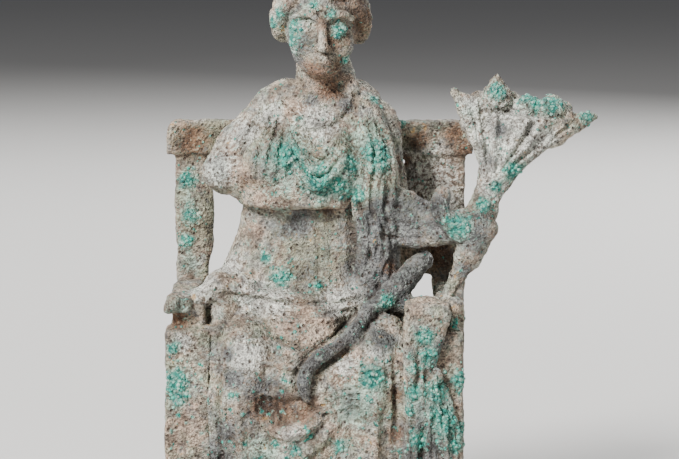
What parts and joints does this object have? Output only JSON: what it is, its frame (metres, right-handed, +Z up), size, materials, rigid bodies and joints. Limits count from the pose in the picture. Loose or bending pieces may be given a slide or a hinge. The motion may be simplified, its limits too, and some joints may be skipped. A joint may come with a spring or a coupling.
{
  "type": "goddess statuette",
  "caption": "Small cast bronze statuette of a draped goddess on a high-backed throne, one arm broken off, a horn of plenty in the other hand, on a low base.",
  "frame": {"origin": "centre of the underside of the base", "axes": "+Z up, -Y to the goddess's front, +X to her left hand, which holds the horn"},
  "size_m": [0.0875, 0.05, 0.1206],
  "materials": {
    "goddess_bronze": "corroded bronze under a cream and grey earth crust with green spots",
    "throne_bronze": "corroded bronze under a buff and brown earth crust with green spots"
  },
  "bodies": {
    "root": {"goddess": "goddess_bronze", "throne": "throne_bronze"}
  },
  "joints": []
}
